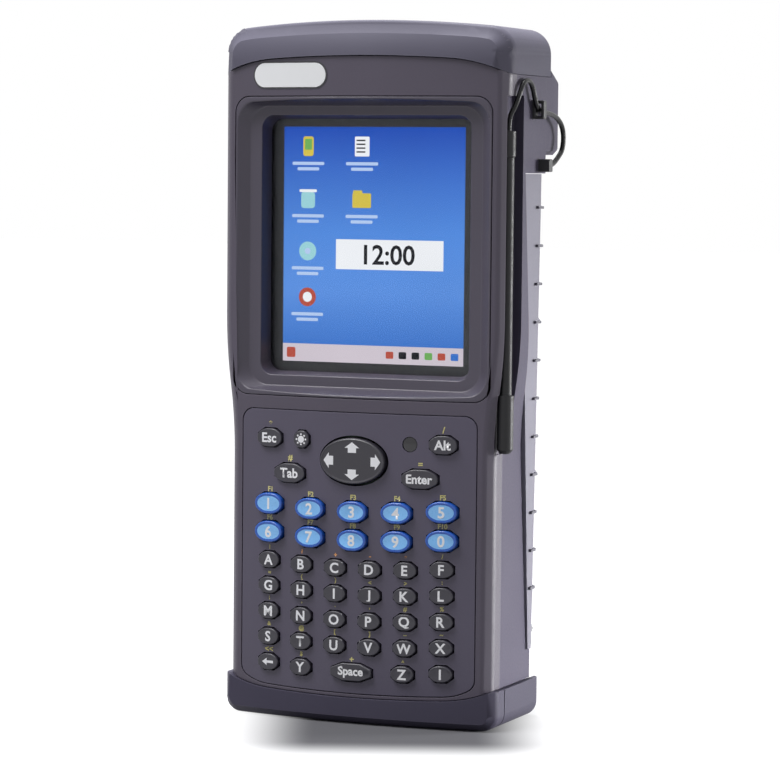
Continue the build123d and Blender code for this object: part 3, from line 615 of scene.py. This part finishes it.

# Keys: moulded oval caps that lean with the panel, dark ones for letters and pale blue ones for digits.
# Each has rounded sides, a shallow dish and a white printed sign, and slides in its own hole.
# Near black and satin for letters, and clear sky blue for digits, deeper blue down their sides, which is
# partly painted shade round the caps.
letter_plastic = moulded("letter_key_abs", "#292730", "#2d2b35", "#444250", 0.4, 0.8, 0.01)
digit_plastic = moulded("digit_key_abs", "#84c4ff", "#8ecaff", "#b0daff", 0.3, 0.8, 0.008)
digit_edge_painted_shade = moulded("digit_key_edge_painted_shade", "#1f55b4", "#245cbc", "#4a86d8", 0.3, 0.8, 0.008)
sign_ink = moulded("white_pad_ink", "#f1f2f6", "#f6f6f9", "#ffffff", 0.5, 0.5, 0.003)
KEY_PROUD = 1.2
DIGIT_PROUD = 1.6
DISH = 0.14
DISH_RIM = 0.5
PRINT_LIFT = 0.03
LETTER_ROUND = 1.05
DIGIT_ROUND = 1.35
LIGHT_ROUND = 0.6
CAP_Y = -15.6
CAP_RIM_Y = -17.5
CAP_CORNER_FOLD = 65
CAP_MIDDLE = 0.8
CAP_FACING = -0.95


def printed(sign, name, node):
    """Fixes a printed sign to the body of a node."""
    sign.name = name
    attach(sign, frame["nodes"][node]["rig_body"])


def cap_top(node, proud):
    """Middle of a cap's dished top in millimetres, a little before the face, and how far it leans."""
    low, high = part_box(node)
    x = (low.x + high.x) * 500
    y = FACE_Y + crown(x) - proud + DISH - PRINT_LIFT
    return x, y, (low.z + high.z) * 500, math.asin(x / FACE_RADIUS)


def keycap(node, text, height, proud, side_round, material, edge=None):
    """One key with its rounded cap, dished top and printed sign."""
    x, y, z, lean = cap_top(node, proud)

    def from_middle(p):
        """How far a place lies from the cap's middle, seen from the front."""
        return math.hypot(p.x - x, p.z - z)

    key = dressed(node, material, [
        (side_round, 4, lambda p, fold: CHAMFER_FOLD < fold < CAP_CORNER_FOLD and p.y < CAP_Y),
        (0.45, 3, lambda p, fold: CAP_CORNER_FOLD < fold and p.y < CAP_RIM_Y),
    ], flats=everywhere)
    bpy.ops.object.mode_set(mode="EDIT")
    choose(key, lambda normal, p: (
        normal.y < CAP_FACING and from_middle(p) < CAP_MIDDLE and p.y < CAP_RIM_Y))
    bpy.ops.mesh.inset(thickness=DISH_RIM / 1000, depth=-DISH / 1000)
    bpy.ops.object.mode_set(mode="OBJECT")
    # The deep blue on a cap's sides and outer ring is partly painted shade.
    if edge:
        key.data.materials.append(edge)
        for face in key.data.polygons:
            outside = from_middle(face.center * 1000) > CAP_MIDDLE
            face.material_index = int(outside or face.normal.y > CAP_FACING)
    if text:
        printed(lettering(text, height, x, y, z, lean, sign_ink, 0.12), node + ".sign", node)


for letter in "abcdefghijklmnopqrstuvwxyz":
    keycap("key_" + letter, letter.upper(), 3.1, KEY_PROUD, LETTER_ROUND, letter_plastic)
for digit in "1234567890":
    keycap("key_" + digit, digit, 3.4, DIGIT_PROUD, DIGIT_ROUND, digit_plastic, digit_edge_painted_shade)
for node, text, height in (
    ("key_space", "Space", 2.6), ("key_esc", "Esc", 2.9), ("key_alt", "Alt", 2.9), ("key_tab", "Tab", 2.9),
    ("key_enter", "Enter", 2.7), ("key_back", "", 0), ("key_bar", "I", 3.1),
):
    keycap(node, text, height, KEY_PROUD, LETTER_ROUND, letter_plastic)
keycap("key_light", "", 0, KEY_PROUD, LIGHT_ROUND, letter_plastic)


def set_on(sign, x, y, z, lean):
    """Moves an upright sign drawn round the origin to its place, leaning with the crown."""
    place = Matrix.Translation((x / 1000, y / 1000, z / 1000))
    sign.data.transform(place @ Matrix.Rotation(lean, 4, "Z"))


def arrow(turn, head, stem):
    """Upright arrow round the origin, turned clockwise, with widths and heights in millimetres."""
    whole = head[1] + stem[1]
    bpy.ops.object.select_all(action="DESELECT")
    bpy.ops.mesh.primitive_circle_add(vertices=3, radius=0.001, fill_type="NGON")
    shape = bpy.context.active_object
    shape.scale = (head[0] / math.sqrt(3), head[1] / 1.5, 1)
    shape.location = (0, (whole / 2 - head[1] * 2 / 3) / 1000, 0)
    bpy.ops.object.transform_apply(location=True, rotation=True, scale=True)
    bpy.ops.object.mode_set(mode="EDIT")
    bpy.ops.mesh.select_all(action="DESELECT")
    bpy.ops.mesh.primitive_plane_add(size=0.001, location=(0, 0, 0))
    bpy.ops.transform.resize(value=(stem[0], stem[1], 1), center_override=(0, 0, 0))
    bpy.ops.transform.translate(value=(0, (stem[1] - whole) / 2000, 0))
    bpy.ops.object.mode_set(mode="OBJECT")
    shape.data.transform(Matrix.Rotation(math.pi / 2, 4, "X") @ Matrix.Rotation(-turn, 4, "Z"))
    shape.data.materials.append(sign_ink)
    return shape


sign = arrow(-math.pi / 2, (2.4, 1.7), (0.8, 2.4))
set_on(sign, *cap_top("key_back", KEY_PROUD))
printed(sign, "key_back.sign", "key_back")
RAY_REACH = 1.6
rays = [tile("sun", 0, 0, 2.2, 2.2, 1.09, 0, 0, sign_ink, 8)]
for ray in range(8):
    x = RAY_REACH * math.cos(ray * math.pi / 4)
    z = RAY_REACH * math.sin(ray * math.pi / 4)
    rays.append(tile("ray", x, z, 0.6, 0.6, 0.25, 0, 0, sign_ink, 3))
sign = joined(rays, "key_light.sign")
set_on(sign, *cap_top("key_light", KEY_PROUD))
printed(sign, "key_light.sign", "key_light")

# Four-way rocker: an oval moulded pad with a rounded rim, a dished top and four white arrows.
# It snaps on its pivot cross and tilts with the thumb.
NAV_Z = 82.5
NAV_TOP = -22.35
NAV_DISH = 0.25
NAV_RIM = 0.4
ARROW_RISE = 4.25
ARROW_ACROSS = 8.0
# A little darker than the letter keys, with much the same satin look.
rocker_plastic = moulded("rocker_moulded_abs", "#24222a", "#292730", "#454350", 0.42, 0.8, 0.02)
rocker = dressed("nav_pad", rocker_plastic, [
    (0.8, 4, lambda p, fold: square(fold) and p.y < NAV_TOP + FACE_SLACK),
], flats=everywhere)
bpy.ops.object.mode_set(mode="EDIT")
choose(rocker, lambda normal, p: normal.y < -0.98 and p.y < NAV_TOP + 0.05)
bpy.ops.mesh.inset(thickness=NAV_RIM / 1000, depth=-NAV_DISH / 1000)
bpy.ops.object.mode_set(mode="OBJECT")
settle_normals(rocker, 30)
for name, across, rise, turn in (
    ("up", 0, ARROW_RISE, 0), ("right", ARROW_ACROSS, 0, math.pi / 2),
    ("down", 0, -ARROW_RISE, math.pi), ("left", -ARROW_ACROSS, 0, -math.pi / 2),
):
    sign = arrow(turn, (5.0, 1.8), (2.8, 1.5))
    set_on(sign, across, NAV_TOP + NAV_DISH - PRINT_LIFT, NAV_Z + rise, 0)
    printed(sign, "rocker_arrow." + name, "nav_pad")

# Second signs: small coloured prints on the panel above the keys, for what they give with a shift key.
# They are pad printed in soft orange and straw yellow.
orange_ink = moulded("orange_pad_ink", "#dc9a5c", "#e0a066", "#e6b080", 0.5, 0.5, 0.003)
yellow_ink = moulded("yellow_pad_ink", "#cfc67e", "#d4cc88", "#dcd59c", 0.5, 0.5, 0.003)


PANEL_PRINT_LIFT = 0.04


def second_sign(text, height, node, rise, ink):
    """Small print on the panel above a key."""
    x, _, z, lean = cap_top(node, 0)
    sign = lettering(text, height, x, FACE_Y + crown(x) - PANEL_PRINT_LIFT, z + rise, lean, ink, 0.08)
    printed(sign, node + ".second_sign", "keypad_panel")


LETTER_RISE = 4.0
DIGIT_RISE = 4.5
WIDE_RISE = 4.6
for place, digit in enumerate("1234567890"):
    second_sign(f"F{place + 1}", 1.5, "key_" + digit, DIGIT_RISE, yellow_ink)
for letter, text in zip("abcdefghijklmnopqrstuvwxyz", "!?+-*/=()<>:;,.'#%&@[]_~$^"):
    ink = orange_ink if letter in "bcde" else yellow_ink
    second_sign(text, 1.3, "key_" + letter, LETTER_RISE, ink)
for node, text, rise in (
    ("key_esc", "*", WIDE_RISE), ("key_tab", "#", WIDE_RISE), ("key_alt", "/", WIDE_RISE),
    ("key_enter", "=", WIDE_RISE), ("key_back", "<<", LETTER_RISE), ("key_space", "+", LETTER_RISE),
):
    second_sign(text, 1.9, node, rise, yellow_ink)

# Battery cover: a ribbed wedge, painted paler partly as the light on it, that shows as a strip along the
# side.
# It is moulded with level grip ribs and held by four long screws.
BACK_Y = 15
COVER_X = 47.2
COVER_FOLDS = (30, 50)
RIB_FIRST = 41.5
RIB_PITCH = 12.0
RIB_HALF = 0.45
# A light lilac grey, partly painted light for the bright strip along the side, dull, with the ribs a darker
# grey.
cover_plastic_painted_light = moulded("cover_moulded_abs_painted_light", "#85838f", "#8b8995", "#a5a3ae", 0.5, 0.7, specular=0.15)
cover = dressed("battery_cover", cover_plastic_painted_light, [
    (0.6, 3, lambda p, fold: (
        COVER_FOLDS[0] < fold < COVER_FOLDS[1] and p.y > BACK_Y and abs(p.x) < COVER_X)),
], smooth=25)
rib_darker = moulded("rib_darker_abs", "#4a4853", "#504e59", "#74717d", 0.6, 0.7)
# The rib faces take a darker grey.
cover.data.materials.append(rib_darker)
for face in cover.data.polygons:
    rises = [cover.data.vertices[v].co.z * 1000 - RIB_FIRST for v in face.vertices]
    turns = {round(rise / RIB_PITCH) for rise in rises}
    flush = all(abs((rise + RIB_PITCH / 2) % RIB_PITCH - RIB_PITCH / 2) < RIB_HALF for rise in rises)
    face.material_index = int(flush and len(turns) == 1)

# End bumpers: soft charcoal rubber caps over both ends, with broad rounded rims.
# They are moulded on spigots of the rear shell, the lower one with a parting line.
# Both are dull and fine grained, and the top one is painted paler as the overhead light on it.
bumper_rubber = moulded("bumper_moulded_rubber", "#474454", "#4c4959", "#656271", 0.5, 0.5, specular=0.12)
# The top cap's paler rubber is painted light, standing in for the overhead light on its rim.
top_rubber_painted_light = moulded("top_bumper_rubber_painted_light", "#5d5b69", "#62606e", "#797784", 0.5, 0.5, specular=0.08)
TOP_PROUD = 0.5
TOP_EDGE = 4.2
LOW_PROUD = 1.75
ROLL_FROM = 205.0
ROLL_TO = 215.0
ROLL_DEPTH = 2.2
ROLL_CUTS = (206.6, 207.7, 208.8, 209.9, 211.0, 212.1, 213.2, 214.3)
RIM_DEPTH = 8


def looks_back(normal, p):
    """Whether a face is turned to the back."""
    return normal.y > 0.3


top_bumper = dressed("top_bumper", top_rubber_painted_light, [
    (2.2, 5, lambda p, fold: chamfered(fold) and 1.5 < past_face(p) + TOP_PROUD < RIM_DEPTH),
    (0.7, 3, lambda p, fold: chamfered(fold) and p.y > BACK_Y),
], flats=looks_back)
bpy.ops.object.mode_set(mode="EDIT")
for height in ROLL_CUTS:
    cut_at((0, 0, height / 1000), (0, 0, 1))
bpy.ops.object.mode_set(mode="OBJECT")
for vertex in top_bumper.data.vertices:
    climb = max(0, (vertex.co.z * 1000 - ROLL_FROM) / (ROLL_TO - ROLL_FROM))
    share = 1 - (past_face(vertex.co * 1000) + TOP_PROUD) / TOP_EDGE
    vertex.co.y += ROLL_DEPTH * climb**2 * max(0, share) / 1000
bpy.ops.object.shade_smooth_by_angle(angle=math.radians(50))
bottom_bumper = dressed("bottom_bumper", bumper_rubber, [
    (1.1, 5, lambda p, fold: chamfered(fold) and 1.0 < past_face(p) + LOW_PROUD < RIM_DEPTH),
    (0.6, 3, lambda p, fold: chamfered(fold) and past_face(p) + LOW_PROUD < 0.5),
    (0.7, 3, lambda p, fold: chamfered(fold) and p.y > BACK_Y),
])
shade_crown(bottom_bumper)

# Stylus: a slim black rod with a fat grip, upright in the side channel.
# It is moulded in matt acetal and lifts out sideways.
STYLUS_SIDE_FOLD = 35
# Near black and matt, with hardly any grain.
stylus_plastic = moulded("stylus_acetal", "#0f0f12", "#131316", "#26262b", 0.5, 1.5, 0.005, specular=0.3)
stylus = dressed("stylus", stylus_plastic, [
    (0.35, 2, lambda p, fold: CHAMFER_FOLD < fold < STYLUS_SIDE_FOLD),
    (0.3, 2, lambda p, fold: STYLUS_SIDE_FOLD < fold),
], flats=everywhere)

# Tether: a black elastic cord from the stylus's tail, over the side, through the eye of the rear
# shell and round to its anchor. Its sheath is braided nylon over rubber.
TETHER_ROUTE = [
    (46.8, -11.55, 185.0), (46.8, -11.55, 189.0), (48.5, -10.6, 192.6), (49.4, -9.3, 196.4),
    (49.5, -6.9, 199.7), (49.6, -3.1, 200.9), (49.7, 0.6, 199.3), (49.8, 2.3, 195.6),
    (49.9, 4.6, 192.4), (50.0, 8.3, 191.1), (50.1, 14.5, 190.9), (50.2, 21.0, 189.8),
    (50.2, 25.9, 187.3), (50.2, 27.6, 183.5), (50.2, 26.4, 179.5), (50.1, 22.7, 177.1),
    (50.0, 17.6, 174.6), (50.0, 13.65, 174.6),
]
TETHER_DIAMETER = 1.6
line = bpy.data.curves.new("tether_line", "CURVE")
line.dimensions = "3D"
line.resolution_u = 8
spline = line.splines.new("NURBS")
spline.points.add(len(TETHER_ROUTE) - 1)
for point, (x, y, z) in zip(spline.points, TETHER_ROUTE):
    point.co = (x / 1000, y / 1000, z / 1000, 1)
spline.order_u = 3
spline.use_endpoint_u = True
tether = bpy.data.objects.new("tether_cord", line)
bpy.context.scene.collection.objects.link(tether)
bpy.context.view_layer.update()
trace = bpy.data.meshes.new_from_object(tether)
line.bevel_depth = TETHER_DIAMETER / 2000
line.bevel_resolution = 4
line.use_fill_caps = True
take(tether)
bpy.ops.object.convert(target="MESH")
tether = bpy.context.active_object
bpy.ops.object.mode_set(mode="EDIT")
bpy.ops.mesh.select_all(action="SELECT")
bpy.ops.mesh.remove_doubles(threshold=WELD_M)
bpy.ops.mesh.normals_make_consistent(inside=False)
bpy.ops.object.mode_set(mode="OBJECT")
bpy.ops.object.shade_smooth_by_angle(angle=math.radians(50))
# Black with a fine broken sheen, as a tight braid has.
tether_sheath = moulded(
    "tether_braided_nylon", "#0c0c0e", "#101012", "#1c1c20", 0.3, 0.45, 0.05, specular=0.25)
tether.data.materials.clear()
tether.data.materials.append(tether_sheath)
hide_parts("stylus_tether")
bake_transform(tether)

# Studio: a grey floor that turns white away from the object, its grey patch a painted shadow round the real
# one, and a white surround.
# Three soft lamps light it, the strongest high in front on the left.


def seen_itself(tree):
    """1 for rays that show a surface to the eye, in a mirror or through glass, and 0 for its light."""
    path = add(tree, "ShaderNodeLightPath")
    shown = path.outputs["Is Camera Ray"]
    for kind in ("Is Glossy Ray", "Is Transmission Ray"):
        shown = add(tree, "ShaderNodeMath", {0: shown, 1: path.outputs[kind]}, operation="MAXIMUM").outputs[0]
    return shown


bpy.ops.object.select_all(action="DESELECT")
bpy.ops.mesh.primitive_plane_add(size=12)
floor = bpy.context.active_object
floor.name = "studio_floor"
SHADE_TURN = math.radians(23.4)
SHADE_MIDDLE = (0.005, -0.02)
SHADE_HALF = (0.024, 0.03, 0)
SHADE_FADE = 0.03
# Matt grey in a patch laid where the object's shadow falls, a painted shadow round the real one, and white
# beyond it.
floor_paint_painted_shadow, tree, shader, place = new_material("floor_matt_paint_painted_shadow")
shader.inputs["Base Color"].default_value = linear("#606064")
shader.inputs["Roughness"].default_value = 0.9
shader.inputs["Specular IOR Level"].default_value = 0.1
turned = add(tree, "ShaderNodeMapping", {
    "Vector": place, "Location": (-SHADE_MIDDLE[0], -SHADE_MIDDLE[1], 0), "Rotation": (0, 0, -SHADE_TURN)})
sides = add(tree, "ShaderNodeVectorMath", {0: turned.outputs["Vector"]}, operation="ABSOLUTE")
past = add(tree, "ShaderNodeVectorMath", {0: sides.outputs["Vector"], 1: SHADE_HALF}, operation="SUBTRACT")
clear = add(tree, "ShaderNodeVectorMath", {0: past.outputs["Vector"], 1: (0, 0, 0)}, operation="MAXIMUM")
reach = add(tree, "ShaderNodeVectorMath", {0: clear.outputs["Vector"]}, operation="LENGTH")
fade = add(tree, "ShaderNodeMapRange", {
    "Value": reach.outputs["Value"], "From Min": 0.0, "From Max": SHADE_FADE, "To Min": 0.0, "To Max": 1.0},
    interpolation_type="SMOOTHSTEP")
glow = add(tree, "ShaderNodeMath", {0: seen_itself(tree), 1: fade.outputs["Result"]}, operation="MULTIPLY")
shader.inputs["Emission Color"].default_value = (1, 1, 1, 1)
tree.links.new(glow.outputs[0], shader.inputs["Emission Strength"])
floor.data.materials.append(floor_paint_painted_shadow)

world = bpy.data.worlds.new("studio_surround")
bpy.context.scene.world = world
world.use_nodes = True
tree = world.node_tree
level = add(tree, "ShaderNodeMapRange", {"Value": seen_itself(tree), "To Min": 0.25, "To Max": 1.0})
tree.nodes["Background"].inputs["Color"].default_value = (1, 1, 1, 1)
tree.links.new(level.outputs["Result"], tree.nodes["Background"].inputs["Strength"])

for name, place, aim, size, spread, watts in (
    ("right_softbox", (0.9, 0.6, 0.1), -0.06, 0.35, 34, 1.15),
    ("front_softbox", (-0.5, -0.54, 1.38), 0.11, 0.7, 180, 26.0),
    ("top_softbox", (-0.11, 0.26, 1.15), 0.11, 0.25, 180, 13.0),
):
    lamp = bpy.data.lights.new(name, "AREA")
    lamp.size = size
    lamp.energy = watts
    lamp.spread = math.radians(spread)
    lamp_object = bpy.data.objects.new(name, lamp)
    bpy.context.scene.collection.objects.link(lamp_object)
    lamp_object.location = place
    lamp_object.rotation_euler = (Vector((0, 0, aim)) - Vector(place)).to_track_quat("-Z", "Y").to_euler()

# Camera: at the photograph's distance and angle, level with the display and well to the right.
# Its long lens keeps the sides nearly parallel.
CAMERA_PLACE = (0.40307, -0.92536, 0.17164)
CAMERA_YAW = math.radians(23.374)
CAMERA_PITCH = math.radians(3.869)
CAMERA_ROLL = math.radians(0.560)
FRAME_PIXELS = 780
FOCAL_PIXELS = 3200
SENSOR_MM = 36
back = Vector((
    math.sin(CAMERA_YAW) * math.cos(CAMERA_PITCH),
    -math.cos(CAMERA_YAW) * math.cos(CAMERA_PITCH),
    math.sin(CAMERA_PITCH),
))
right = (-back).cross(Vector((0, 0, 1))).normalized()
up = right.cross(-back)
tilted_right = math.cos(CAMERA_ROLL) * right + math.sin(CAMERA_ROLL) * up
tilted_up = math.cos(CAMERA_ROLL) * up - math.sin(CAMERA_ROLL) * right
lens = bpy.data.cameras.new("photo_camera")
lens.sensor_width = SENSOR_MM
lens.lens = SENSOR_MM * FOCAL_PIXELS / FRAME_PIXELS
lens.clip_start = 0.05
camera = bpy.data.objects.new("photo_camera", lens)
bpy.context.scene.collection.objects.link(camera)
turn = Matrix((tilted_right, tilted_up, back)).transposed()
camera.matrix_world = Matrix.Translation(CAMERA_PLACE) @ turn.to_4x4()
bpy.context.scene.camera = camera
